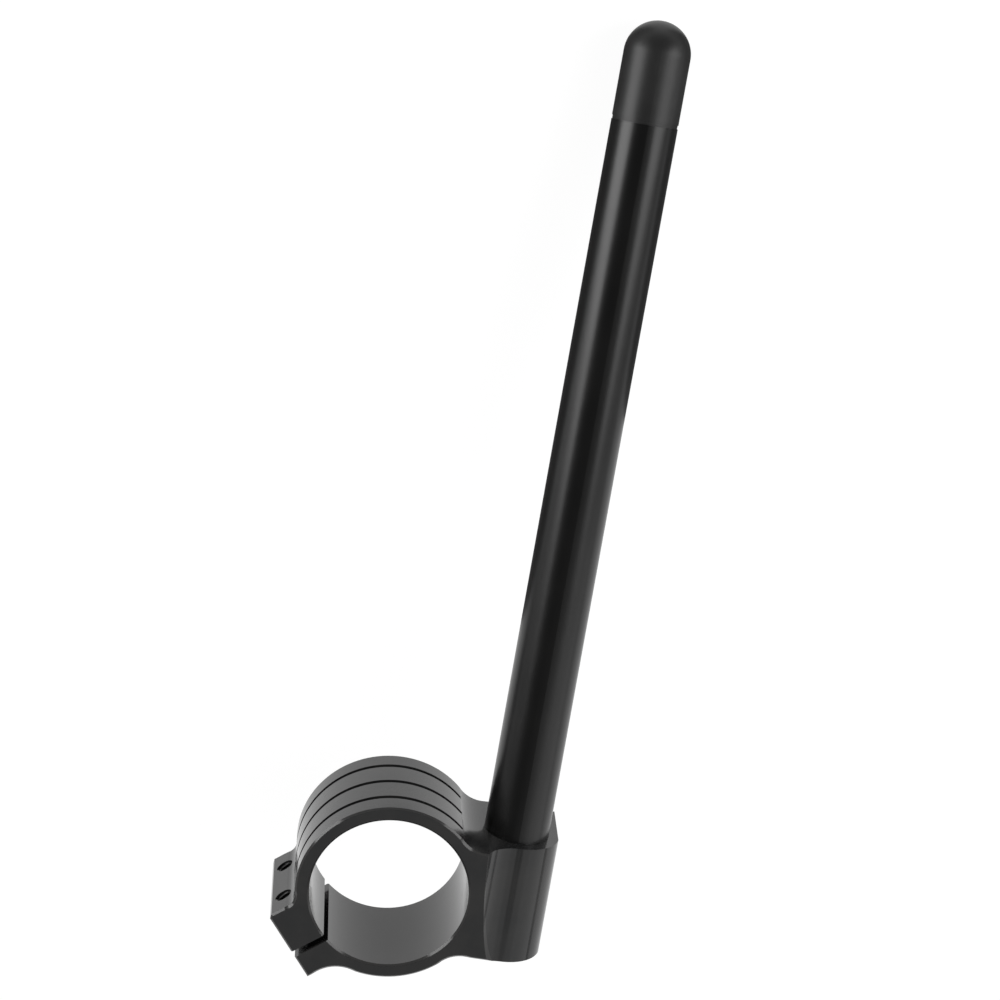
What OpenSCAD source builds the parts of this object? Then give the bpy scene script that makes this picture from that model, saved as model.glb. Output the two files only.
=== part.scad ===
// Clip-on handlebar for a motorbike fork, in millimetres.
// Origin: centre of the fork bore, at the middle of the clamp's width.
// +Z runs up along the fork tube, +X points outboard along the bar, the bar stands at -Y of the fork.

/* [Fork clamp] */
// Diameter of the fork tube that the collar closes on
fork_d = 53; // [50:0.5:56]
// Wall of the collar round the fork tube
collar_wall = 4.7; // [4:0.1:6]
// Width of the clamp along the fork tube
clamp_w = 42.4; // [38:0.2:50]
// Bevel along the edges of the two faces
edge_bevel = 0.65; // [0.3:0.05:1]

/* [Pinch lug] */
// Direction of the lug, turned from the outboard direction
lug_angle = 129.3; // [118:0.1:140]
// Height of the lug's outer face over the collar
lug_stand = 7.6; // [7:0.1:10]
// Thickness of the tapped half, from the bore's centre line
tapped_half = 12.7; // [11:0.1:15]
// Thickness of the half that takes the bolt heads, from the bore's centre line
head_half = 13.4; // [12.6:0.1:16]
// Corner cut where the lug's shoulder meets its outer face
shoulder_corner = 1.2; // [0.6:0.1:2]
// Radius of the fillet between the shoulder and the collar
shoulder_fillet = 4.5; // [3:0.1:6]
// Radius of the fillet between the head half and the collar
head_fillet = 12.3; // [8:0.1:14]
// Width of the slit
slit_w = 2.3; // [1.5:0.1:3]
// Offset of the slit from the bore's centre line, towards the head half
slit_offset = 3.7; // [2:0.1:4.5]

/* [Pinch bolts] */
// Thread diameter of the pinch bolts
pinch_d = 6; // [5:0.5:6]
// Length of the pinch bolts under the head
pinch_len = 20; // [17:0.5:21]
// Diameter of the low head
pinch_head_d = 10; // [9:0.5:10]
// Height of the low head
pinch_head_h = 4; // [3:0.1:4.4]
// Key size of the pinch bolts
pinch_key = 4; // [3:0.5:5]
// Distance from the middle of a pinch bolt to the nearer face of the clamp
pinch_edge = 10.2; // [8:0.1:14]
// Distance from the lug's outer face to the bolt axes
pinch_inset = 5.5; // [5.4:0.1:6]
// Metal left between the slit and the bolt head
pinch_seat_wall = 4.3; // [3.5:0.1:4.5]

/* [Grooves] */
// Number of grooves round the collar
groove_count = 3; // [1:1:3]
// Distance between neighbouring grooves
groove_pitch = 12.4; // [8:0.1:13]
// Width of a groove
groove_w = 2; // [1:0.1:3]
// Depth of a groove
groove_depth = 1.4; // [0.6:0.1:2]
// Radius of the disc cutter that leaves the run-out at both ends
groove_cutter_r = 9; // [6:0.5:12]
// Plain collar between the grooves and the boss's fillet, in degrees
groove_boss_margin = 0.8; // [0:0.1:8]
// Plain collar between the grooves and the shoulder's fillet, in degrees
groove_lug_margin = 5.5; // [0:0.1:12]

/* [Boss] */
// Length of the boss along the outboard direction
boss_len = 38.8; // [34:0.2:44]
// Distance from the bar's axis to the flat outer side of the boss
boss_side = 14.2; // [13.6:0.1:16]
// Radius of the rounded upper side, about the bar's axis
boss_round_r = 14.6; // [14:0.1:16]
// Radius of the hollow that leads from the rounded side to the top face
boss_hollow_r = 12.5; // [9:0.1:12.8]
// Turn of the point where hollow and round meet, about the bar's axis
boss_hollow_turn = 2; // [0:0.5:8]
// Radius of the fillet between the collar and the outboard face
outboard_fillet = 11.2; // [8:0.1:12]
// Radius of the fillet between the collar and the inboard face
inboard_fillet = 10.4; // [8:0.1:12]

/* [Bar] */
// Outer diameter of the bar
bar_d = 22; // [21:0.1:22.5]
// Wall of the bar
bar_wall = 3.5; // [2:0.1:4]
// Droop of the bar below level, in degrees
bar_droop = 10; // [0:0.5:12]
// Distance between the fork's axis and the bar's axis
bar_offset = 40.6; // [40.2:0.1:43]
// Height of the bar's axis over the middle of the clamp, at the fork
bar_rise = 1.9; // [0:0.1:3]
// Reach of the bar along its axis, from the fork to the end cap
bar_reach = 260; // [160:1:300]
// Depth of the bar's socket past the middle of the boss
socket_past_middle = 6; // [3:0.5:7]
// Floor of the socket
socket_floor = 4; // [3:0.5:5]

/* [Bar fixing] */
// Length of the threaded plug in the inner end of the bar
plug_len = 22; // [18:1:30]
// Thread diameter of the retaining bolt
retainer_d = 8; // [6:0.5:8]
// Length of the retaining bolt under the head
retainer_len = 20; // [14:1:25]
// Diameter of its head
retainer_head_d = 13; // [11:0.5:13.5]
// Height of its head
retainer_head_h = 8; // [6:0.5:8]
// Key size of the retaining bolt
retainer_key = 6; // [4:0.5:7]

/* [End cap] */
// Height of the cap over the end of the bar
cap_h = 33.6; // [25:0.2:45]
// Step between the bar and the foot of the cap
cap_step = 0.25; // [0.1:0.05:0.6]
// Length of the spigot inside the bar
spigot_len = 18; // [10:1:25]
// Length of the foot, which is cut back by the step
cap_foot = 1.2; // [0.6:0.1:2]

/* [Fits] */
// Radial gap between the bar and its socket, and between a plug and the bar
slip = 0.03; // [0.02:0.01:0.1]
// Radial gap between a thread and its hole
thread_gap = 0.05; // [0.02:0.01:0.1]
// Radial gap between a shank and its clearance hole
shank_gap = 0.3; // [0.2:0.05:0.5]
// Radial gap between a bolt head and its pocket
head_gap = 0.1; // [0.1:0.05:0.2]
// Gap between two faces that seat on each other
seat_gap = 0.02; // [0.01:0.01:0.1]

/* [Hidden] */
$fn = 96;
eps = 0.01;
bore_r = fork_d / 2;
collar_r = bore_r + collar_wall;
half_w = clamp_w / 2;
reach_all = 200;
// Depth to which a round cutter laps into the faces that it joins, so that they meet in a clean edge
lap = 0.05;
// Bevel of a fillet, a little larger than the others, so that it crosses them in a clean edge
flare = edge_bevel + 0.15;
// Turn by which a bevel of the collar stops short of a fillet, and run of a straight one past its edge
bevel_trim = 1;
bevel_past = 0.5;

// Lug
lug_reach = collar_r + lug_stand;
slit_tapped_side = slit_offset - slit_w / 2;
slit_head_side = slit_offset + slit_w / 2;
pinch_at = lug_reach - pinch_inset;
pinch_level = half_w - pinch_edge;
pinch_seat = slit_head_side + pinch_seat_wall;

// Boss, as an arm of the collar that points along -Y
boss_angle = -90;
boss_reach = bar_offset + boss_side;
boss_half = boss_len / 2;

// Bar, measured along its own axis from the fork's plane
bar_r = bar_d / 2;
bar_bore_r = bar_r - bar_wall;
socket_at = -socket_past_middle;
bolt_face_at = socket_at - socket_floor;
plug_at = socket_at + 2 * seat_gap;

// Turn, seen from the bore's centre, at which a fillet of radius r leaves the collar for a flat at height h
function fillet_turn(h, r) = asin((h + r - lap) / (collar_r + r - lap));
// Centre of that fillet in the arm's own frame, for a flat on the +Y side
function fillet_centre(h, r) = (collar_r + r - lap) * [cos(fillet_turn(h, r)), sin(fillet_turn(h, r))];

// Grooves: the disc cutter rolls round the collar and its rim leaves the surface groove_run past its centre
groove_centre_r = collar_r - groove_depth - lap + groove_cutter_r;
groove_run = acos((pow(collar_r, 2) + pow(groove_centre_r, 2) - pow(groove_cutter_r, 2))
                  / (2 * collar_r * groove_centre_r));
groove_from = boss_angle + fillet_turn(boss_half, outboard_fillet) + groove_boss_margin + groove_run;
groove_to = lug_angle - fillet_turn(tapped_half, shoulder_fillet) - groove_lug_margin - groove_run;

// Frame of an arm of the collar: X points outwards at the given turn
module arm_frame(turn) {
    rotate([0, 0, turn])
        children();
}

// Frame of the bar: Z runs outboard along its axis, X points up, Y points away from the fork
module bar_frame() {
    translate([0, -bar_offset, bar_rise])
        rotate([0, 90 + bar_droop, 0])
            rotate([0, 0, 180])
                children();
}

// Frame of a pinch bolt: Z runs from the seat of its head into the tapped half
module pinch_frame(level) {
    arm_frame(lug_angle)
        translate([pinch_at, pinch_seat, level])
            rotate([90, 0, 0])
                children();
}

// Cutter for the bore, which bevels both its rims
module bore_cutter() {
    rotate_extrude()
        polygon([[0, -half_w - 1], [bore_r + edge_bevel + 1, -half_w - 1], [bore_r, edge_bevel - half_w],
                 [bore_r, half_w - edge_bevel], [bore_r + edge_bevel + 1, half_w + 1], [0, half_w + 1]]);
}

// Prism over an outline that starts in the collar, standing proud of both faces by the given amount
module arm_prism(outline, proud) {
    translate([0, 0, -half_w - proud])
        linear_extrude(clamp_w + 2 * proud)
            polygon(outline);
}

// Bevels of the straight edges along a chain of points; the metal lies on the left of the chain
module straight_bevels(points) {
    for (i = [0 : len(points) - 2], side = [0, 1]) {
        run = points[i + 1] - points[i];
        mirror([0, 0, side])
            translate([points[i][0], points[i][1], half_w])
                rotate([0, 0, atan2(run[1], run[0])])
                    rotate([90, 0, 90])
                        translate([0, 0, -bevel_past])
                            linear_extrude(norm(run) + 2 * bevel_past)
                                polygon([[-1, -edge_bevel - 1], [edge_bevel + 1, 1], [-1, 1]]);
    }
}

// Bevels of the collar between two turns
module collar_bevels(from, to) {
    for (side = [0, 1])
        mirror([0, 0, side])
            rotate([0, 0, from + bevel_trim])
                rotate_extrude(angle = to - from - 2 * bevel_trim)
                    polygon([[collar_r + 1, half_w - edge_bevel - 1], [collar_r + 1, half_w + 1],
                             [collar_r - edge_bevel - 1, half_w + 1]]);
}

// Cutter of the fillet between the collar and an arm's flat, with its bevels; side is +1 or -1 in arm Y
module fillet_cut(side, h, r) {
    centre = fillet_centre(h, r);
    translate([centre[0], side * centre[1], 0])
        rotate_extrude()
            polygon([[0, -half_w - 2], [r + flare + 2, -half_w - 2], [r, flare - half_w],
                     [r, half_w - flare], [r + flare + 2, half_w + 2], [0, half_w + 2]]);
}

// Collar with its two arms, solid, bevelled round both faces. The boss and the lug are chains of points
// from the foot of one fillet to that of the other. Arms and collar are joined proud of the faces.
module clamp_blank() {
    out = fillet_centre(boss_half, outboard_fillet);
    in = fillet_centre(boss_half, inboard_fillet);
    shoulder = fillet_centre(tapped_half, shoulder_fillet);
    head = fillet_centre(head_half, head_fillet);
    boss = [[in[0], -boss_half], [boss_reach, -boss_half], [boss_reach, boss_half], [out[0], boss_half]];
    lug = [[shoulder[0], -tapped_half], [lug_reach - shoulder_corner, -tapped_half],
           [lug_reach, shoulder_corner - tapped_half], [lug_reach, head_half], [head[0], head_half]];
    difference() {
        union() {
            translate([0, 0, -half_w - 1])
                cylinder(h = clamp_w + 2, r = collar_r);
            arm_frame(boss_angle)
                arm_prism(concat([[0, 0], [in[0], -in[1]]], boss, [out]), 2);
            arm_frame(lug_angle)
                arm_prism(concat([[0, 0], [shoulder[0], -shoulder[1]]], lug, [head]), 3);
        }
        arm_frame(boss_angle) {
            fillet_cut(1, boss_half, outboard_fillet);
            fillet_cut(-1, boss_half, inboard_fillet);
            straight_bevels(boss);
        }
        arm_frame(lug_angle) {
            fillet_cut(-1, tapped_half, shoulder_fillet);
            fillet_cut(1, head_half, head_fillet);
            straight_bevels(lug);
        }
        collar_bevels(boss_angle + fillet_turn(boss_half, outboard_fillet),
                      lug_angle - fillet_turn(tapped_half, shoulder_fillet));
        collar_bevels(lug_angle + fillet_turn(head_half, head_fillet),
                      360 + boss_angle - fillet_turn(boss_half, inboard_fillet));
        for (side = [0, 1])
            mirror([0, 0, side])
                translate([-reach_all / 2, -reach_all / 2, half_w])
                    cube([reach_all, reach_all, 10]);
    }
}

// S-shaped relief on the boss: a round about the bar's axis and a hollow that leads up to the top face.
// It follows the bar, so it leans across the boss with the droop.
module boss_relief() {
    apart = boss_round_r + boss_hollow_r;
    hollow = apart * [cos(boss_hollow_turn), sin(boss_hollow_turn)];
    meet = boss_round_r * sin(boss_hollow_turn);
    length = boss_len + 20;
    bar_frame()
        translate([0, 0, -length / 2])
            linear_extrude(length) {
                difference() {
                    translate([0, meet])
                        square([reach_all, reach_all]);
                    circle(boss_round_r);
                }
                translate(hollow)
                    circle(boss_hollow_r);
                translate([hollow[0], hollow[1] - boss_hollow_r])
                    square([reach_all, boss_hollow_r + 1]);
            }
}

// One groove: the path of the disc cutter and its run-out at both ends
module groove(level) {
    translate([0, 0, level - groove_w / 2]) {
        rotate([0, 0, groove_from])
            rotate_extrude(angle = groove_to - groove_from)
                translate([collar_r - groove_depth, 0])
                    square([groove_depth + 1, groove_w]);
        for (turn = [groove_from, groove_to])
            rotate([0, 0, turn])
                translate([groove_centre_r, 0, 0])
                    cylinder(r = groove_cutter_r, h = groove_w);
    }
}

// Socket for the bar, with the hole and the pocket of the retaining bolt
module bar_socket() {
    bar_frame() {
        translate([0, 0, socket_at])
            cylinder(r = bar_r + slip, h = reach_all);
        translate([0, 0, bolt_face_at - 1])
            cylinder(r = retainer_d / 2 + shank_gap, h = socket_floor + 2);
        translate([0, 0, bolt_face_at - reach_all])
            cylinder(r = retainer_head_d / 2 + head_gap, h = reach_all);
    }
}

// Slit, pockets, clearance holes and tapped holes of the pinch lug
module pinch_cuts() {
    arm_frame(lug_angle)
        translate([0, slit_tapped_side, -half_w - 1])
            cube([reach_all, slit_w, clamp_w + 2]);
    for (level = [-1, 1] * pinch_level)
        pinch_frame(level) {
            translate([0, 0, -reach_all])
                cylinder(r = pinch_head_d / 2 + head_gap, h = reach_all);
            translate([0, 0, -1])
                cylinder(r = pinch_d / 2 + shank_gap, h = pinch_seat_wall + 1 + slit_w / 2);
            cylinder(r = pinch_d / 2 + thread_gap, h = reach_all);
        }
}

// One-piece clamp: collar, boss and lug, milled from the solid
module clamp_body() {
    color("#26272a")
        difference() {
            clamp_blank();
            bore_cutter();
            boss_relief();
            for (i = [0 : groove_count - 1])
                groove((i - (groove_count - 1) / 2) * groove_pitch);
            bar_socket();
            pinch_cuts();
        }
}

// Bar, a plain tube that bottoms in the socket
module handlebar_tube() {
    color("#17181a")
        bar_frame()
            translate([0, 0, socket_at + seat_gap])
                difference() {
                    cylinder(r = bar_r, h = bar_reach - socket_at - seat_gap);
                    translate([0, 0, -1])
                        cylinder(r = bar_bore_r, h = reach_all * 2);
                }
}

// Moulded cap: a straight skirt with a domed end, a foot set back from the bar, and a spigot inside it
module bar_end_cap() {
    color("#2b2c2e")
        bar_frame()
            translate([0, 0, bar_reach + seat_gap])
                rotate_extrude() {
                    square([bar_r - cap_step, cap_foot + eps]);
                    translate([0, cap_foot])
                        square([bar_r, cap_h - bar_r - cap_foot]);
                    translate([0, cap_h - bar_r])
                        intersection() {
                            circle(bar_r);
                            square(bar_r);
                        }
                    translate([0, -spigot_len])
                        square([bar_bore_r - slip, spigot_len + cap_foot]);
                }
}

// Threaded plug pressed into the inner end of the bar
module tube_plug() {
    color("#a9acb0")
        bar_frame()
            translate([0, 0, plug_at])
                difference() {
                    cylinder(r = bar_bore_r - slip, h = plug_len);
                    translate([0, 0, -1])
                        cylinder(r = retainer_d / 2 + thread_gap, h = plug_len + 2);
                }
}

// Socket-head bolt whose seat lies at Z = 0 and whose shank points along +Z
module socket_bolt(d, length, head_d, head_h, key) {
    difference() {
        union() {
            translate([0, 0, -head_h])
                cylinder(d = head_d, h = head_h);
            translate([0, 0, -eps])
                cylinder(d = d, h = length + eps);
        }
        translate([0, 0, -head_h - 1])
            cylinder(d = key / cos(30), h = head_h / 2 + 1, $fn = 6);
    }
}

// Bolt that draws the bar into its socket
module retaining_bolt() {
    color("#3a3b3d")
        bar_frame()
            translate([0, 0, bolt_face_at - seat_gap])
                socket_bolt(retainer_d, retainer_len, retainer_head_d, retainer_head_h, retainer_key);
}

// One of the two bolts that close the slit
module pinch_bolt(level) {
    color("#3a3b3d")
        pinch_frame(level)
            translate([0, 0, -seat_gap])
                socket_bolt(pinch_d, pinch_len, pinch_head_d, pinch_head_h, pinch_key);
}

module upper_pinch_bolt() {
    pinch_bolt(pinch_level);
}

module lower_pinch_bolt() {
    pinch_bolt(-pinch_level);
}

clamp_body();
handlebar_tube();
bar_end_cap();
tube_plug();
retaining_bolt();
upper_pinch_bolt();
lower_pinch_bolt();
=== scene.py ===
"""Looks of a clip-on handlebar: a split clamp for a 53 mm fork leg, its bar, end cap and screws.

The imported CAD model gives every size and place, in metres: +Z runs up the fork leg, +X runs
outboard along the bar, and the origin is the middle of the clamp's bore.
"""

import logging
import math
from dataclasses import dataclass
from enum import Enum
from typing import Any, Sequence

import bmesh
import bpy
from mathutils import Matrix, Vector

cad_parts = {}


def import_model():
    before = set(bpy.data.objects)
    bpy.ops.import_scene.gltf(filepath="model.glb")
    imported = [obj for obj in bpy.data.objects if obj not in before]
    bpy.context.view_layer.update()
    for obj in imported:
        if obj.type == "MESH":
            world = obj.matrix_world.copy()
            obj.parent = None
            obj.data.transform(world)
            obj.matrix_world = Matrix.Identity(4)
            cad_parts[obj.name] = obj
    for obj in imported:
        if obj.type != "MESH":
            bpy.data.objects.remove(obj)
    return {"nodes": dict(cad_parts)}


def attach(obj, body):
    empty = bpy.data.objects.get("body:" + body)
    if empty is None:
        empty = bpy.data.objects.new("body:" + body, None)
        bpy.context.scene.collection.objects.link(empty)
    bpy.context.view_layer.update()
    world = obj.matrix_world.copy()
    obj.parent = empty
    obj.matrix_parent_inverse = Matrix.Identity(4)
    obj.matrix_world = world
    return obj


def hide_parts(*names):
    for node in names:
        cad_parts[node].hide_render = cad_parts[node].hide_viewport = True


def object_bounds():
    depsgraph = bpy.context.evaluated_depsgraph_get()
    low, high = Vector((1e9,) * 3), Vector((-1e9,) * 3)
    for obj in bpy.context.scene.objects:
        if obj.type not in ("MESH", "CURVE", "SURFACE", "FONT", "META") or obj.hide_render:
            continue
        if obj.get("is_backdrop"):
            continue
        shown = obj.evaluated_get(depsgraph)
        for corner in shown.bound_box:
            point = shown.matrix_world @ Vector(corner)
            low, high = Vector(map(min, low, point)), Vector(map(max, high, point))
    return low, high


LOG = logging.getLogger("clip_on")
MM = 0.001

# Places that the CAD source fixes, in metres and radians
BAR_START = Vector((0.0, -40.6 * MM, 1.9 * MM))
BAR_DROOP = math.radians(10.0)
BAR_AXIS = Vector((math.cos(BAR_DROOP), 0.0, -math.sin(BAR_DROOP)))
LUG_TURN = math.radians(129.3)
LUG_OUT = Vector((math.cos(LUG_TURN), math.sin(LUG_TURN), 0.0))
LUG_ACROSS = Vector((-math.sin(LUG_TURN), math.cos(LUG_TURN), 0.0))
PINCH_REACH = 33.3 * MM
PINCH_LEVELS = {"upper": 11.0 * MM, "lower": -11.0 * MM}
HALF_WIDTH = 21.2 * MM
UP = Vector((0.0, 0.0, 1.0))

# Points round a turned form and in one turn of a thread, and the angle past which an edge is sharp
ROUND = 96
THREAD_ROUND = 28
SHARP = math.radians(32.0)

Triple = tuple[float, float, float]
Pair = tuple[float, float]


class Ridge(Enum):
    """The side of its helix on which a thread's crest stands, as the turn of its profile."""

    OUTWARD = math.pi
    INWARD = 0.0


class Value:
    """A number that varies inside a node tree; Python's operators on it add Math nodes."""

    def __init__(self, nodes: "Nodes", socket: bpy.types.NodeSocket) -> None:
        """Wraps the output socket of a node."""
        self.nodes = nodes
        self.socket = socket

    def _math(self, operation: str, *terms: Any, clamp: bool = False) -> "Value":
        """Adds one Math node.

        Args:
            operation: the node's operation.
            terms: its inputs, as numbers or Values.
            clamp: whether the result is kept between 0 and 1.

        Returns:
            The node's result.
        """
        settings = {"operation": operation, "use_clamp": clamp}
        return Value(self.nodes, self.nodes.node("ShaderNodeMath", settings, *terms).outputs[0])

    def __add__(self, other: Any) -> "Value":
        """Adds."""
        return self._math("ADD", self, other)

    def __radd__(self, other: Any) -> "Value":
        """Adds, with the number on the left."""
        return self._math("ADD", other, self)

    def __sub__(self, other: Any) -> "Value":
        """Subtracts."""
        return self._math("SUBTRACT", self, other)

    def __rsub__(self, other: Any) -> "Value":
        """Subtracts from a number on the left."""
        return self._math("SUBTRACT", other, self)

    def __mul__(self, other: Any) -> "Value":
        """Multiplies."""
        return self._math("MULTIPLY", self, other)

    def __rmul__(self, other: Any) -> "Value":
        """Multiplies, with the number on the left."""
        return self._math("MULTIPLY", other, self)

    def __truediv__(self, other: Any) -> "Value":
        """Divides."""
        return self._math("DIVIDE", self, other)

    def __rtruediv__(self, other: Any) -> "Value":
        """Divides a number on the left."""
        return self._math("DIVIDE", other, self)

    def abs(self) -> "Value":
        """Drops the sign."""
        return self._math("ABSOLUTE", self)

    def clamp(self) -> "Value":
        """Keeps the value between 0 and 1."""
        return self._math("ADD", self, 0.0, clamp=True)

    def step(self, low: float, high: float) -> "Value":
        """Rises smoothly from 0 at low to 1 at high.

        Args:
            low: where the rise starts.
            high: where it ends; a high below low turns the rise into a fall.

        Returns:
            The smoothed value.
        """
        if high < low:
            return 1.0 - self.step(high, low)
        settings = {"interpolation_type": "SMOOTHSTEP"}
        made = self.nodes.node("ShaderNodeMapRange", settings, self, low, high, 0.0, 1.0)
        return Value(self.nodes, made.outputs[0])


class Nodes:
    """A node tree, with the one method that adds its nodes."""

    def __init__(self, tree: bpy.types.NodeTree) -> None:
        """Empties a node tree and wraps it."""
        tree.nodes.clear()
        self.tree = tree

    def node(
        self, kind: str, settings: dict[str, Any], *values: Any, **named: Any
    ) -> bpy.types.Node:
        """Adds one node.

        Args:
            kind: the node's type.
            settings: its properties, set before its sockets; "stops" sets a colour ramp's ends.
            values: numbers, tuples, sockets or Values for the first inputs; None skips one.
            named: the same for inputs given by name, with _ for a space.

        Returns:
            The node.
        """
        made = self.tree.nodes.new(kind)
        for key, setting in settings.items():
            if key == "stops":
                for element, (at, colour) in zip(made.color_ramp.elements, setting):
                    element.position, element.color = at, (*colour, 1.0)
            else:
                setattr(made, key, setting)
        for socket, value in zip(made.inputs, values):
            self.feed(socket, value)
        for key, value in named.items():
            name = key.replace("_", " ")
            self.feed(next(i for i in made.inputs if i.name == name and i.enabled), value)
        return made

    def feed(self, socket: bpy.types.NodeSocket, value: Any) -> None:
        """Sets an input to a number or colour, or links it.

        Args:
            socket: the input.
            value: a number, a tuple, a socket or a Value; None leaves the input alone.
        """
        if isinstance(value, Value):
            value = value.socket
        if value is None:
            return
        if isinstance(value, bpy.types.NodeSocket):
            self.tree.links.new(value, socket)
        elif socket.type == "RGBA":
            socket.default_value = (*value, 1.0)
        else:
            socket.default_value = value


@dataclass(frozen=True)
class Grain:
    """The measures of a noise texture.

    The fields are its waves in a metre, its octaves and how strong the fine octaves are.
    """

    waves: float
    octaves: float
    rough: float


class Shader(Nodes):
    """One material and its node tree, written as expressions."""

    def __init__(self, name: str) -> None:
        """Makes a material with a Principled shader as its surface."""
        self.material = bpy.data.materials.new(name)
        self.material.use_nodes = True
        super().__init__(self.material.node_tree)
        self.surface = self.node("ShaderNodeBsdfPrincipled", {})
        self.output = self.node("ShaderNodeOutputMaterial", {}, self.surface.outputs[0])
        self.place = self.node("ShaderNodeTexCoord", {}).outputs["Object"]

    def set(self, **sockets: Any) -> None:
        """Sets inputs of the Principled shader, named with _ for a space."""
        for key, value in sockets.items():
            self.feed(self.surface.inputs[key.replace("_", " ")], value)

    def along(self, direction: Vector) -> Value:
        """Measures how far a point lies along a direction.

        Args:
            direction: the direction, of unit length.

        Returns:
            The distance from the origin in metres.
        """
        settings = {"operation": "DOT_PRODUCT"}
        made = self.node("ShaderNodeVectorMath", settings, self.place, tuple(direction))
        return Value(self, made.outputs["Value"])

    def stretched(self, scales: Triple, turn: Triple = (0.0, 0.0, 0.0)) -> bpy.types.NodeSocket:
        """Turns and stretches the object's coordinates.

        Args:
            scales: the factors along the turned axes.
            turn: Euler turns in radians.

        Returns:
            The coordinates' socket.
        """
        made = self.node("ShaderNodeMapping", {"vector_type": "TEXTURE"}, self.place, None, turn)
        settings = {"operation": "MULTIPLY"}
        return self.node("ShaderNodeVectorMath", settings, made.outputs[0], scales).outputs[0]

    def noise(self, grain: Grain, at: bpy.types.NodeSocket | None = None) -> Value:
        """Reads a noise texture.

        Args:
            grain: its measures.
            at: the coordinates; the object's own if None.

        Returns:
            The noise, from 0 to 1.
        """
        made = self.node(
            "ShaderNodeTexNoise",
            {},
            at or self.place,
            Scale=grain.waves,
            Detail=grain.octaves,
            Roughness=grain.rough,
        )
        return Value(self, made.outputs[0])

    def mix(self, factor: Value, low: Any, high: Any) -> bpy.types.NodeSocket:
        """Mixes two colours.

        Args:
            factor: 0 for the first colour and 1 for the second.
            low: the first colour.
            high: the second colour.

        Returns:
            The colour's socket.
        """
        made = self.node("ShaderNodeMix", {"data_type": "RGBA"}, Factor=factor, A=low, B=high)
        return next(o for o in made.outputs if o.enabled)

    def bump(self, height: Value, distance: float, strength: float) -> bpy.types.NodeSocket:
        """Turns a height into a normal.

        Args:
            height: the height, from 0 to 1.
            distance: the height that 1 stands for, in metres.
            strength: how much of it shows.

        Returns:
            The normal's socket.
        """
        return self.node("ShaderNodeBump", {}, strength, distance, Height=height).outputs[0]


def grey(level: float, warmth: float = 0.0) -> Triple:
    """Gives a near-neutral linear colour, a little warm or cool."""
    return (level * (1.0 + warmth), level, level * (1.0 - warmth))


# In a finish, a field that ends in gloss is how far a pattern moves the roughness, one that ends
# in edges is where a step starts and ends, and one that ends in share is a pattern's strength


@dataclass(frozen=True)
class AnodisedAluminium:
    """Black anodised aluminium, milled before it was dyed."""

    name: str = "black_anodised_clamp"
    colour: float = 0.021
    thin_dye: float = 1.2
    thick_dye: float = 0.85
    cool: float = -0.03
    warm: float = 0.02
    # The bevels' colour below is lighter as a painted highlight of the chamfers, with some rubbed
    # wear in it
    rubbed: float = 0.07
    rubbed_highlight_share: float = 0.5
    steady_highlight: float = 0.75
    specular: float = 0.43
    roughness: float = 0.14
    cloud_gloss: float = 0.06
    touch_gloss: float = 0.05
    pore_gloss: float = 0.04
    marks: Grain = Grain(5200.0, 2.0, 0.6)
    mark_stretch: Triple = (1.0, 1.0, 0.02)
    pores: Grain = Grain(9000.0, 3.0, 0.65)
    cloud: Grain = Grain(70.0, 3.0, 0.55)
    cloud_edges: Pair = (0.3, 0.7)
    touch: Grain = Grain(320.0, 4.0, 0.6)
    touch_edges: Pair = (0.55, 0.75)
    wear: Grain = Grain(900.0, 3.0, 0.6)
    bevel: float = 0.65 * MM
    foot_edges: Pair = (-0.06 * MM, 0.02 * MM)
    face_edges: Pair = (-0.02 * MM, -0.1 * MM)
    relief: float = 0.002 * MM
    relief_share: float = 0.3
    pore_share: float = 0.6

    def rims(self, s: Shader) -> Value:
        """Finds the bevels along the edges of the clamp's two faces, where a highlight is painted.

        Args:
            s: the material.

        Returns:
            1 on the bevels and 0 elsewhere.
        """
        level, foot = s.along(UP).abs(), HALF_WIDTH - self.bevel
        inner = level.step(*(foot + edge for edge in self.foot_edges))
        return inner * level.step(*(HALF_WIDTH + edge for edge in self.face_edges))

    def material(self) -> bpy.types.Material:
        """Builds the finish with its fine milling marks, pores of the dye and lighter bevels:
        painted highlight and rubbed wear.

        Returns:
            The material.
        """
        s = Shader(self.name)
        marks = s.noise(self.marks, s.stretched(self.mark_stretch))
        pores = s.noise(self.pores)
        cloud = s.noise(self.cloud)
        touched = s.noise(self.touch).step(*self.touch_edges)
        # Painted highlight: the bevels of both faces are painted lighter, steadily along their
        # length, and a noise adds rubbed wear on top
        worn_and_highlit = self.rims(s) * (self.steady_highlight + (1.0 - self.steady_highlight) * s.noise(self.wear))
        thick = grey(self.colour * self.thick_dye, self.cool)
        thin = grey(self.colour * self.thin_dye, self.warm)
        dyed = s.mix(cloud.step(*self.cloud_edges), thick, thin)
        height = self.pore_share * pores + (1.0 - self.pore_share) * marks
        s.set(
            Base_Color=s.mix(self.rubbed_highlight_share * worn_and_highlit, dyed, grey(self.rubbed, self.warm)),
            Roughness=self.roughness
            + self.cloud_gloss * (cloud - 0.5)
            + self.touch_gloss * touched
            + self.pore_gloss * (pores - 0.5),
            Specular_IOR_Level=self.specular,
            Normal=s.bump(height, self.relief, self.relief_share),
        )
        return s.material


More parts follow.
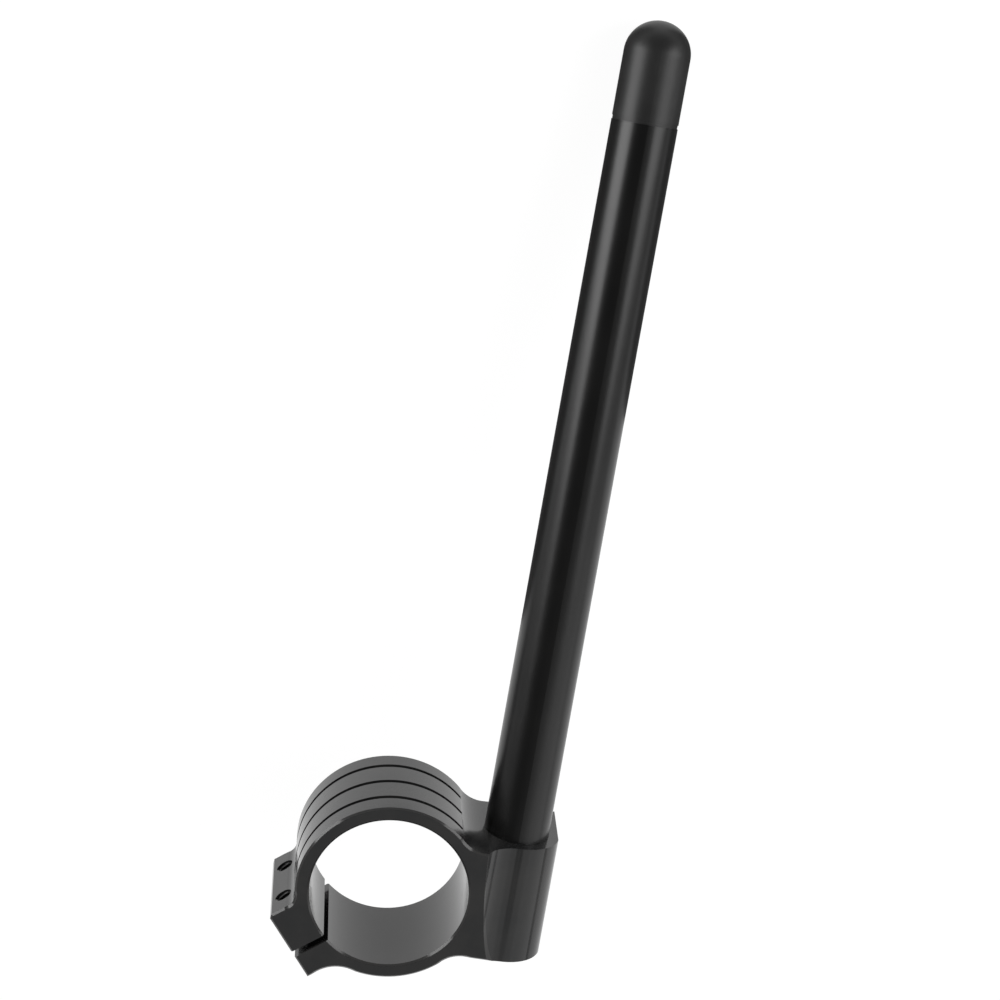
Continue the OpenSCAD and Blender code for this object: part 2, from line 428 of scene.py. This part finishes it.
@dataclass(frozen=True)
class AnodisedTube:
    """Black satin tube, drawn lengthwise and blasted before it was dyed."""

    name: str = "black_satin_tube"
    colour: float = 0.0032
    thin_dye: float = 1.3
    thick_dye: float = 0.8
    warm: float = 0.02
    roughness: float = 0.3
    cloud_gloss: float = 0.06
    grain_gloss: float = 0.05
    draw: Grain = Grain(2600.0, 2.0, 0.6)
    draw_stretch: Triple = (0.015, 1.0, 1.0)
    grain: Grain = Grain(7000.0, 3.0, 0.7)
    cloud: Grain = Grain(45.0, 3.0, 0.5)
    cloud_edges: Pair = (0.3, 0.7)
    relief: float = 0.004 * MM
    relief_share: float = 0.5
    grain_share: float = 0.55

    def material(self) -> bpy.types.Material:
        """Builds the finish with its lengthwise draw lines and fine blasted grain.

        Returns:
            The material.
        """
        s = Shader(self.name)
        draw = s.noise(self.draw, s.stretched(self.draw_stretch, (0.0, BAR_DROOP, 0.0)))
        grain = s.noise(self.grain)
        cloud = s.noise(self.cloud)
        thick = grey(self.colour * self.thick_dye)
        thin = grey(self.colour * self.thin_dye, self.warm)
        height = self.grain_share * grain + (1.0 - self.grain_share) * draw
        s.set(
            Base_Color=s.mix(cloud.step(*self.cloud_edges), thick, thin),
            Roughness=self.roughness
            + self.cloud_gloss * (cloud - 0.5)
            + self.grain_gloss * (grain - 0.5),
            Normal=s.bump(height, self.relief, self.relief_share),
        )
        return s.material


@dataclass(frozen=True)
class MouldedPlastic:
    """Matt black moulded plastic of the end cap."""

    name: str = "matt_black_cap"
    colour: float = 0.018
    pale: float = 1.25
    dark: float = 0.85
    roughness: float = 0.42
    cloud_gloss: float = 0.08
    scuff_gloss: float = 0.06
    pebbles: Grain = Grain(3800.0, 2.0, 0.6)
    cloud: Grain = Grain(90.0, 3.0, 0.5)
    cloud_edges: Pair = (0.25, 0.75)
    scuffs: Grain = Grain(1400.0, 3.0, 0.7)
    scuff_edges: Pair = (0.6, 0.8)
    relief: float = 0.015 * MM
    relief_share: float = 0.45

    def material(self) -> bpy.types.Material:
        """Builds the finish with the spark-eroded grain of its mould.

        Returns:
            The material.
        """
        s = Shader(self.name)
        pebbles = s.noise(self.pebbles)
        cloud = s.noise(self.cloud)
        scuffs = s.noise(self.scuffs).step(*self.scuff_edges)
        dark, pale = grey(self.colour * self.dark), grey(self.colour * self.pale)
        s.set(
            Base_Color=s.mix(cloud.step(*self.cloud_edges), dark, pale),
            Roughness=self.roughness
            + self.cloud_gloss * (cloud - 0.5)
            - self.scuff_gloss * scuffs,
            Normal=s.bump(pebbles, self.relief, self.relief_share),
        )
        return s.material


@dataclass(frozen=True)
class BlackOxideSteel:
    """Oiled black oxide of a socket screw."""

    name: str = "black_oxide_screw"
    colour: float = 0.05
    bright: float = 0.16
    cool: float = -0.04
    warm: float = 0.03
    metal: float = 0.75
    rub_metal: float = 0.2
    roughness: float = 0.34
    mottle_gloss: float = 0.14
    rub_gloss: float = 0.06
    mottle: Grain = Grain(900.0, 4.0, 0.65)
    fine: Grain = Grain(5200.0, 3.0, 0.6)
    rub: Grain = Grain(1700.0, 3.0, 0.7)
    rub_edges: Pair = (0.62, 0.78)
    relief: float = 0.01 * MM
    relief_share: float = 0.5

    def material(self) -> bpy.types.Material:
        """Builds the finish with its mottled oxide and its bright rubbed specks.

        Returns:
            The material.
        """
        s = Shader(self.name)
        mottle = s.noise(self.mottle)
        fine = s.noise(self.fine)
        rubbed = s.noise(self.rub).step(*self.rub_edges)
        oxide, bright = grey(self.colour, self.cool), grey(self.bright, self.warm)
        s.set(
            Base_Color=s.mix(rubbed, oxide, bright),
            Metallic=self.metal + self.rub_metal * rubbed,
            Roughness=self.roughness
            + self.mottle_gloss * (mottle - 0.5)
            - self.rub_gloss * rubbed,
            Normal=s.bump(fine, self.relief, self.relief_share),
        )
        return s.material


@dataclass(frozen=True)
class TurnedAluminium:
    """Bare turned aluminium of the threaded plug inside the bar."""

    name: str = "turned_plug"
    colour: float = 0.6
    dark: float = 0.85
    roughness: float = 0.25
    ring_gloss: float = 0.15
    rings: Grain = Grain(4200.0, 2.0, 0.5)
    ring_stretch: Triple = (1.0, 0.03, 0.03)
    relief: float = 0.01 * MM
    relief_share: float = 0.6

    def material(self) -> bpy.types.Material:
        """Builds the finish with its turning marks.

        Returns:
            The material.
        """
        s = Shader(self.name)
        rings = s.noise(self.rings, s.stretched(self.ring_stretch, (0.0, BAR_DROOP, 0.0)))
        s.set(
            Base_Color=s.mix(rings, grey(self.colour * self.dark), grey(self.colour)),
            Metallic=1.0,
            Roughness=self.roughness + self.ring_gloss * rings,
            Normal=s.bump(rings, self.relief, self.relief_share),
        )
        return s.material


def linked(name: str, data: bpy.types.ID) -> bpy.types.Object:
    """Makes an object for a mesh, light or camera and links it to the scene."""
    made = bpy.data.objects.new(name, data)
    bpy.context.collection.objects.link(made)
    return made


class Growth(Nodes):
    """A Geometry Nodes tree that grows one repeated detail, run once for each piece."""

    def __init__(self, name: str) -> None:
        """Makes a tree with an entry for its sizes."""
        super().__init__(bpy.data.node_groups.new(name, "GeometryNodeTree"))
        self.tree.interface.new_socket(
            "Geometry", in_out="OUTPUT", socket_type="NodeSocketGeometry"
        )
        self.entry = self.node("NodeGroupInput", {})

    def size(self, name: str, kind: str = "NodeSocketFloat") -> Value:
        """Adds a named input.

        Args:
            name: the input's name.
            kind: its socket type.

        Returns:
            The value that it carries inside the tree.
        """
        self.tree.interface.new_socket(name, in_out="INPUT", socket_type=kind)
        return Value(self, self.entry.outputs[name])

    def close(self, geometry: bpy.types.NodeSocket) -> None:
        """Ends the tree with Realize Instances and Set Material.

        Args:
            geometry: what has grown.
        """
        finish = self.size("Finish", "NodeSocketMaterial")
        real = self.node("GeometryNodeRealizeInstances", {}, geometry)
        dressed = self.node(
            "GeometryNodeSetMaterial", {}, Geometry=real.outputs[0], Material=finish
        )
        self.node("NodeGroupOutput", {}, dressed.outputs[0])

    def grow(self, **sizes: Any) -> bpy.types.Mesh:
        """Runs the tree once and keeps its result.

        Args:
            sizes: the inputs' values by name, with _ for a space.

        Returns:
            The plain mesh.
        """
        seed = linked(self.tree.name, bpy.data.meshes.new(self.tree.name))
        modifier = seed.modifiers.new("growth", "NODES")
        modifier.node_group = self.tree
        entries = (i for i in self.tree.interface.items_tree if i.in_out == "INPUT")
        identifiers = {i.name: i.identifier for i in entries}
        for name, value in sizes.items():
            modifier[identifiers[name.replace("_", " ")]] = value
        seed.update_tag()
        graph = bpy.context.evaluated_depsgraph_get()
        grown = bpy.data.meshes.new_from_object(seed.evaluated_get(graph))
        seed.modifiers.remove(modifier)
        bpy.data.objects.remove(seed)
        return grown


class ThreadGrowth(Growth):
    """A thread: a triangular ridge that winds round the Z axis from Z = 0."""

    def __init__(self) -> None:
        """Builds the tree: a helix with a triangle swept along it."""
        super().__init__("thread_ridge")
        radius, pitch, height = self.size("Radius"), self.size("Pitch"), self.size("Height")
        ridge, turn = self.size("Ridge"), self.size("Turn")
        helix = self.node(
            "GeometryNodeCurveSpiral",
            {},
            Resolution=THREAD_ROUND,
            Rotations=height / pitch,
            Start_Radius=radius,
            End_Radius=radius,
            Height=height,
        )
        upright = self.node("GeometryNodeSetCurveNormal", {"mode": "Z_UP"}, helix.outputs[0])
        triangle = self.node("GeometryNodeCurvePrimitiveCircle", {}, Resolution=3, Radius=ridge)
        about = self.node("ShaderNodeCombineXYZ", {}, Z=turn)
        turned = self.node(
            "GeometryNodeTransform", {}, Geometry=triangle.outputs[0], Rotation=about.outputs[0]
        )
        swept = self.node(
            "GeometryNodeCurveToMesh",
            {},
            Curve=upright.outputs[0],
            Profile_Curve=turned.outputs[0],
            Fill_Caps=True,
        )
        self.close(swept.outputs[0])


class KnurlGrowth(Growth):
    """The knurl of a screw's head: upright bars that stand round the Z axis."""

    def __init__(self) -> None:
        """Builds the tree: one bar at each point of a circle, turned to face outwards."""
        super().__init__("head_knurl")
        radius, count = self.size("Radius"), self.size("Count", "NodeSocketInt")
        bar = self.size("Bar", "NodeSocketVector")
        ring = self.node("GeometryNodeMeshCircle", {}, Vertices=count, Radius=radius)
        block = self.node("GeometryNodeMeshCube", {}, Size=bar)
        place = self.node("GeometryNodeInputPosition", {})
        facing = self.node(
            "FunctionNodeAlignRotationToVector", {"axis": "X"}, Vector=place.outputs[0]
        )
        bars = self.node(
            "GeometryNodeInstanceOnPoints",
            {},
            Points=ring.outputs[0],
            Instance=block.outputs[0],
            Rotation=facing.outputs[0],
        )
        self.close(bars.outputs[0])


def basis(origin: Vector, along: Vector, side: Vector) -> Matrix:
    """Gives the frame of a screw or hole.

    Args:
        origin: its origin.
        along: the direction of its Z axis.
        side: the direction of its X axis.

    Returns:
        The matrix from the frame to the scene.
    """
    turn = Matrix((side, along.cross(side), along)).transposed().to_4x4()
    return Matrix.Translation(origin) @ turn


def circle(radius: float, level: float) -> list[Vector]:
    """Gives the points of a circle round the Z axis."""
    turns = (2.0 * math.pi * i / ROUND for i in range(ROUND))
    return [Vector((radius * math.cos(t), radius * math.sin(t), level)) for t in turns]


def hexagon(across: float, level: float) -> list[Vector]:
    """Gives points along a hexagon round the Z axis, one for each point of a circle.

    Args:
        across: the distance between opposite sides.
        level: its height.

    Returns:
        The points, from the corner on the X axis.
    """
    points = []
    for i in range(ROUND):
        turn = 2.0 * math.pi * i / ROUND
        radius = across / 2.0 / math.cos(turn % (math.pi / 3.0) - math.pi / 6.0)
        points.append(Vector((radius * math.cos(turn), radius * math.sin(turn), level)))
    return points


def lathe(rings: Sequence[Sequence[Vector]]) -> bpy.types.Mesh:
    """Skins a stack of rings and closes both its ends.

    Args:
        rings: loops with the same number of points.

    Returns:
        The closed mesh.
    """
    count = len(rings[0])
    points = [point for ring in rings for point in ring]
    faces = []
    for low in range(0, len(points) - count, count):
        for i in range(count):
            near, far = low + i, low + (i + 1) % count
            faces.append((near, far, far + count, near + count))
    faces += [tuple(range(count)), tuple(range(len(points) - count, len(points)))]
    mesh = bpy.data.meshes.new("lathe")
    mesh.from_pydata(points, [], faces)
    return mesh


def join(
    name: str, meshes: Sequence[bpy.types.Mesh], place: Matrix, finish: bpy.types.Material
) -> bpy.types.Object:
    """Joins meshes to one piece at its place.

    Args:
        name: the piece's name.
        meshes: its closed parts, in the frame of the piece.
        place: the matrix from that frame to the scene.
        finish: its material.

    Returns:
        The piece, whose object sits at the origin.
    """
    whole = bmesh.new()
    for mesh in meshes:
        whole.from_mesh(mesh)
        bpy.data.meshes.remove(mesh)
    for face in whole.faces:
        face.material_index = 0
        face.smooth = True
    bmesh.ops.recalc_face_normals(whole, faces=whole.faces)
    whole.transform(place)
    joined = bpy.data.meshes.new(name)
    whole.to_mesh(joined)
    whole.free()
    joined.materials.append(finish)
    joined.set_sharp_from_angle(angle=SHARP)
    return linked(name, joined)


def dress(node: bpy.types.Object, material: bpy.types.Material) -> None:
    """Gives a CAD node one finish in all its slots.

    Args:
        node: the node's object.
        material: the finish.
    """
    if not node.data.materials:
        node.data.materials.append(material)
    for slot in node.material_slots:
        slot.material = material
    LOG.info("dressed %s in %s", node.name, material.name)


@dataclass
class SocketScrew:
    """A socket-head screw with its thread, knurled head and hexagon socket.

    Its frame starts at the seat of the head, with Z along the shank. The fields that end in
    share are shares of the pitch, those that end in of_key are shares of the key, and bar_width
    is a share of the knurl's spacing.
    """

    name: str
    node: str
    seat: Vector
    along: Vector
    side: Vector
    radius: float
    length: float
    head_radius: float
    head_height: float
    key: float
    pitch: float
    thread_from: float
    bars: int
    drill_tip: float = 0.02 * MM
    drill_depth_of_key: float = 0.3
    drill_radius_of_key: float = 0.4
    mouth_depth_of_key: float = 0.05
    mouth_radius_of_key: float = 0.62
    crown: float = 0.4 * MM
    crown_bend: Pair = (0.1 * MM, 0.14 * MM)
    foot_chamfer: Pair = (0.3 * MM, 0.35 * MM)
    knurl: float = 0.12 * MM
    knurl_drop: float = 0.05 * MM
    plain_ends: float = 0.9 * MM
    bar_width: float = 0.55
    root_share: float = 0.62
    crest_share: float = 0.41
    runin_share: float = 0.5
    lead_share: float = 0.1
    runout_share: float = 0.9
    tip_share: float = 0.6
    tip_inset_share: float = 0.4

    def core(self) -> bpy.types.Mesh:
        """Makes the head with its socket, and the shank down to the root of the thread."""
        top, floor = -self.head_height, -self.head_height / 2.0
        root = self.radius - self.root_share * self.pitch
        rim = self.head_radius - self.knurl
        bend_in, bend_down = self.crown_bend
        chamfer_in, chamfer_up = self.foot_chamfer
        # From the drill point in the socket's floor, up its walls to the chamfered mouth, down
        # the rounded outside of the head and along the shank
        socket = [
            circle(self.drill_tip, floor + self.drill_depth_of_key * self.key),
            circle(self.drill_radius_of_key * self.key, floor),
            hexagon(self.key, floor),
            hexagon(self.key, top + self.mouth_depth_of_key * self.key),
            circle(self.mouth_radius_of_key * self.key, top),
        ]
        head = [
            circle(rim - self.crown, top),
            circle(rim - bend_in, top + bend_down),
            circle(rim, top + self.crown),
            circle(rim, -chamfer_up),
            circle(rim - chamfer_in, 0.0),
        ]
        shank = [
            circle(self.radius, 0.0),
            circle(self.radius, self.thread_from - self.runin_share * self.pitch),
            circle(root, self.thread_from),
            circle(root, self.length - self.tip_share * self.pitch),
            circle(root - self.tip_inset_share * self.pitch, self.length),
        ]
        return lathe(socket + head + shank)

    def thread(self, tree: ThreadGrowth, finish: bpy.types.Material) -> bpy.types.Mesh:
        """Winds the thread from the shank's plain part to just before its end.

        Args:
            tree: the tree of a thread.
            finish: its material.

        Returns:
            The ridge.
        """
        ridge = self.crest_share * self.pitch
        wound = tree.grow(
            Radius=self.radius - ridge,
            Pitch=self.pitch,
            Height=self.length - self.thread_from - self.runout_share * self.pitch,
            Ridge=ridge,
            Turn=Ridge.OUTWARD.value,
            Finish=finish,
        )
        lead = self.lead_share * self.pitch
        wound.transform(Matrix.Translation(UP * (self.thread_from + lead)))
        return wound

    def rim(self, tree: KnurlGrowth, finish: bpy.types.Material) -> bpy.types.Mesh:
        """Sets the knurl round the head.

        Args:
            tree: the tree of a knurl.
            finish: its material.

        Returns:
            The bars.
        """
        width = self.bar_width * 2.0 * math.pi * self.head_radius / self.bars
        ring = tree.grow(
            Radius=self.head_radius - self.knurl,
            Count=self.bars,
            Bar=(2.0 * self.knurl, width, self.head_height - self.plain_ends),
            Finish=finish,
        )
        ring.transform(Matrix.Translation(UP * (self.knurl_drop - self.head_height / 2.0)))
        return ring

    def build(self, thread: ThreadGrowth, knurl: KnurlGrowth, finish: bpy.types.Material) -> None:
        """Makes the screw and puts it in the place of its CAD node.

        Args:
            thread: the tree of its thread.
            knurl: the tree of its knurl.
            finish: its material.
        """
        parts = [self.core(), self.thread(thread, finish), self.rim(knurl, finish)]
        piece = join(self.name, parts, basis(self.seat, self.along, self.side), finish)
        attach(piece, "root")
        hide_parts(self.node)
        LOG.info("built %s in the place of %s", self.name, self.node)


@dataclass
class ForkClamp:
    """The milled clamp, with the threads that show in the mouths of its two tapped holes.

    The fields that end in share are shares of the pitch.
    """

    finish: AnodisedAluminium = AnodisedAluminium()
    hole_radius: float = 3.05 * MM
    sunk: float = 0.06 * MM
    shoulder: float = -12.7 * MM
    pitch: float = 1.0 * MM
    depth: float = 1.75 * MM
    crest_share: float = 0.36
    mouth_share: float = 0.4
    runout_share: float = 0.75

    def threads(self, thread: ThreadGrowth, finish: bpy.types.Material) -> None:
        """Winds the first turns of the thread into each hole.

        Args:
            thread: the tree of a thread.
            finish: its material.
        """
        ridge = self.crest_share * self.pitch
        across = LUG_ACROSS * (self.shoulder + self.mouth_share * self.pitch)
        for side, level in PINCH_LEVELS.items():
            wound = thread.grow(
                Radius=self.hole_radius + self.sunk - ridge / 2.0,
                Pitch=self.pitch,
                Height=self.depth - self.runout_share * self.pitch,
                Ridge=ridge,
                Turn=Ridge.INWARD.value,
                Finish=finish,
            )
            mouth = LUG_OUT * PINCH_REACH + across + UP * level
            place = basis(mouth, LUG_ACROSS, LUG_OUT)
            piece = join(f"{side}_tapping", [wound], place, finish)
            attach(piece, "root")
            LOG.info("wound %s", piece.name)

    def build(self, nodes: dict[str, bpy.types.Object], thread: ThreadGrowth) -> None:
        """Dresses the clamp and winds its threads.

        Args:
            nodes: the CAD nodes by name.
            thread: the tree of a thread.
        """
        finish = self.finish.material()
        dress(nodes["clamp_body"], finish)
        self.threads(thread, finish)


@dataclass
class Bar:
    """The bar with its end cap, and the plug pressed into its inner end."""

    tube: AnodisedTube = AnodisedTube()
    cap: MouldedPlastic = MouldedPlastic()
    plug: TurnedAluminium = TurnedAluminium()

    def build(self, nodes: dict[str, bpy.types.Object]) -> None:
        """Dresses the three pieces.

        Args:
            nodes: the CAD nodes by name.
        """
        dress(nodes["handlebar_tube"], self.tube.material())
        dress(nodes["bar_end_cap"], self.cap.material())
        dress(nodes["tube_plug"], self.plug.material())


@dataclass
class Screws:
    """The two pinch screws of the lug and the screw that draws the bar into its socket."""

    finish: BlackOxideSteel = BlackOxideSteel()
    pinch_seat: float = 9.13 * MM
    retainer_seat: float = -10.02 * MM

    def pinch(self, side: str, level: float) -> SocketScrew:
        """Gives a pinch screw of M6 with a low head.

        Args:
            side: which of the two it is.
            level: its height.

        Returns:
            The screw.
        """
        return SocketScrew(
            name=f"{side}_pinch_screw",
            node=f"{side}_pinch_bolt",
            seat=LUG_OUT * PINCH_REACH + LUG_ACROSS * self.pinch_seat + UP * level,
            along=-LUG_ACROSS,
            side=LUG_OUT,
            radius=3.0 * MM,
            length=20.0 * MM,
            head_radius=5.0 * MM,
            head_height=4.0 * MM,
            key=4.0 * MM,
            pitch=1.0 * MM,
            thread_from=5.5 * MM,
            bars=46,
        )

    def retainer(self) -> SocketScrew:
        """Gives the retaining screw, of M8."""
        return SocketScrew(
            name="retaining_screw",
            node="retaining_bolt",
            seat=BAR_START + BAR_AXIS * self.retainer_seat,
            along=BAR_AXIS,
            side=Vector((math.sin(BAR_DROOP), 0.0, math.cos(BAR_DROOP))),
            radius=4.0 * MM,
            length=20.0 * MM,
            head_radius=6.5 * MM,
            head_height=8.0 * MM,
            key=6.0 * MM,
            pitch=1.25 * MM,
            thread_from=6.0 * MM,
            bars=54,
        )

    def build(self, thread: ThreadGrowth) -> None:
        """Makes the screws.

        Args:
            thread: the tree of a thread.
        """
        knurl, finish = KnurlGrowth(), self.finish.material()
        for side, level in PINCH_LEVELS.items():
            self.pinch(side, level).build(thread, knurl, finish)
        self.retainer().build(thread, knurl, finish)


def sheet(name: str, low: Pair, high: Pair, level: float, finish: Shader) -> bpy.types.Object:
    """Lays a flat rectangle that belongs to the studio.

    Args:
        name: its name.
        low: its lowest X and Y.
        high: its highest X and Y.
        level: its height.
        finish: its material.

    Returns:
        The rectangle.
    """
    corners = [(low[0], low[1]), (high[0], low[1]), (high[0], high[1]), (low[0], high[1])]
    mesh = bpy.data.meshes.new(name)
    mesh.from_pydata([(x, y, level) for x, y in corners], [], [(0, 1, 2, 3)])
    mesh.materials.append(finish.material)
    laid = linked(name, mesh)
    laid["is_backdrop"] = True
    return laid


@dataclass(frozen=True)
class SoftBox:
    """A soft box that faces the origin, with its width and height in metres."""

    name: str
    place: Triple
    size: Pair
    watts: float

    def build(self) -> None:
        """Hangs the soft box."""
        light = bpy.data.lights.new(self.name, "AREA")
        light.shape = "RECTANGLE"
        light.size, light.size_y = self.size
        light.energy = self.watts
        lamp = linked(self.name, light)
        lamp.location = self.place
        lamp.rotation_mode = "QUATERNION"
        lamp.rotation_quaternion = (-Vector(self.place)).to_track_quat("-Z", "Y")


@dataclass(frozen=True)
class GreyCard:
    """A grey card that lies on the floor and shows in reflections alone."""

    name: str
    low: Pair
    high: Pair
    albedo: float = 0.25

    def build(self, level: float) -> None:
        """Lays the card at a height."""
        s = Shader(self.name)
        s.set(Base_Color=grey(self.albedo), Roughness=1.0, Specular_IOR_Level=0.0)
        card = sheet(self.name, self.low, self.high, level, s)
        card.visible_camera = card.visible_diffuse = card.visible_shadow = False


@dataclass(frozen=True)
class Studio:
    """Pale floor, soft light and the photograph's camera.

    The sky's stops are heights of the view direction with the greys that they show. The camera's
    eye is in millimetres.
    """

    half_floor: float = 3.0
    floor_gap: float = 0.4 * MM
    floor_albedo: float = 0.92
    floor_roughness: float = 0.9
    glow: float = 1.15
    glow_share: float = 0.8
    sky: tuple[tuple[float, Triple], ...] = ((0.05, grey(0.45)), (0.6, grey(0.1)))
    lamps: tuple[SoftBox, ...] = (
        SoftBox("left_box", (0.36, 0.92, 0.34), (0.5, 0.78), 6.0),
        SoftBox("right_box", (0.5, -0.8, 0.58), (0.55, 0.8), 4.4),
        SoftBox("right_fill", (-0.34, -0.84, 0.5), (0.86, 0.86), 2.2),
        SoftBox("head_card", (-0.48, -0.2, 0.95), (0.6, 0.85), 0.72),
        SoftBox("boss_card", (-0.115, -0.545, 0.95), (0.36, 0.34), 0.29),
    )
    cards: tuple[GreyCard, ...] = (
        GreyCard("left_flag", (0.072, -0.028), (0.36, 0.14)),
        GreyCard("far_flag", (-0.16, 0.09), (0.06, 0.8)),
        GreyCard("right_flag", (0.15, -0.25), (0.36, -0.054)),
    )
    eye: Triple = (453.11, 87.901, 933.333)
    forward: Triple = (-0.320873, -0.102065, -0.941607)
    right: Triple = (0.182973, -0.982128, 0.044105)
    lens: float = 110.077
    sensor: float = 36.0

    def floor(self, level: float) -> None:
        """Lays the floor, which looks white and still takes the object's shadow.

        Args:
            level: its height.
        """
        s = Shader("white_floor")
        s.set(
            Base_Color=grey(self.floor_albedo),
            Roughness=self.floor_roughness,
            Specular_IOR_Level=0.0,
        )
        rays = s.node("ShaderNodeLightPath", {}).outputs
        seen = Value(s, rays["Is Camera Ray"]) + Value(s, rays["Is Glossy Ray"])
        seen = (seen + Value(s, rays["Is Transmission Ray"])).clamp()
        glow = s.node("ShaderNodeEmission", {}, grey(1.0), self.glow)
        surfaces = (s.surface.outputs[0], glow.outputs[0])
        mixed = s.node("ShaderNodeMixShader", {}, self.glow_share * seen, *surfaces)
        s.feed(s.output.inputs[0], mixed.outputs[0])
        half = self.half_floor
        sheet("studio_floor", (-half, -half), (half, half), level, s)

    def room(self) -> None:
        """Makes the room: pale round the horizon, dark overhead."""
        world = bpy.data.worlds.new("studio")
        bpy.context.scene.world = world
        world.use_nodes = True
        room = Nodes(world.node_tree)
        place = room.node("ShaderNodeTexCoord", {})
        split = room.node("ShaderNodeSeparateXYZ", {}, place.outputs["Generated"])
        ramp = room.node("ShaderNodeValToRGB", {"stops": self.sky}, split.outputs["Z"])
        back = room.node("ShaderNodeBackground", {}, ramp.outputs[0])
        room.node("ShaderNodeOutputWorld", {}, back.outputs[0])

    def camera(self) -> None:
        """Places the camera where the photograph was taken."""
        data = bpy.data.cameras.new("photo_camera")
        data.sensor_width = self.sensor
        data.sensor_fit = "HORIZONTAL"
        data.lens = self.lens
        camera = linked("photo_camera", data)
        right, forward = Vector(self.right), Vector(self.forward)
        turn = Matrix((right, right.cross(forward), -forward)).transposed().to_4x4()
        camera.matrix_world = Matrix.Translation(Vector(self.eye) * MM) @ turn
        bpy.context.scene.camera = camera

    def build(self, low: float) -> None:
        """Sets the stage below, round and above the object.

        Args:
            low: the object's lowest level.
        """
        bpy.context.scene.view_settings.view_transform = "Standard"
        self.floor(low - self.floor_gap)
        self.room()
        for lamp in self.lamps:
            lamp.build()
        for card in self.cards:
            card.build(low - self.floor_gap / 2.0)
        self.camera()
        LOG.info("set up %d soft boxes and %d cards", len(self.lamps), len(self.cards))


def main() -> None:
    """Loads the frame, dresses and builds each piece and sets the stage."""
    logging.basicConfig(level=logging.INFO, format="%(message)s")
    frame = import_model()
    cad = [list(corner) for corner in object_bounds()]
    thread = ThreadGrowth()
    ForkClamp().build(frame["nodes"], thread)
    Bar().build(frame["nodes"])
    Screws().build(thread)
    Studio().build(cad[0][2])


if __name__ == "__main__":
    main()
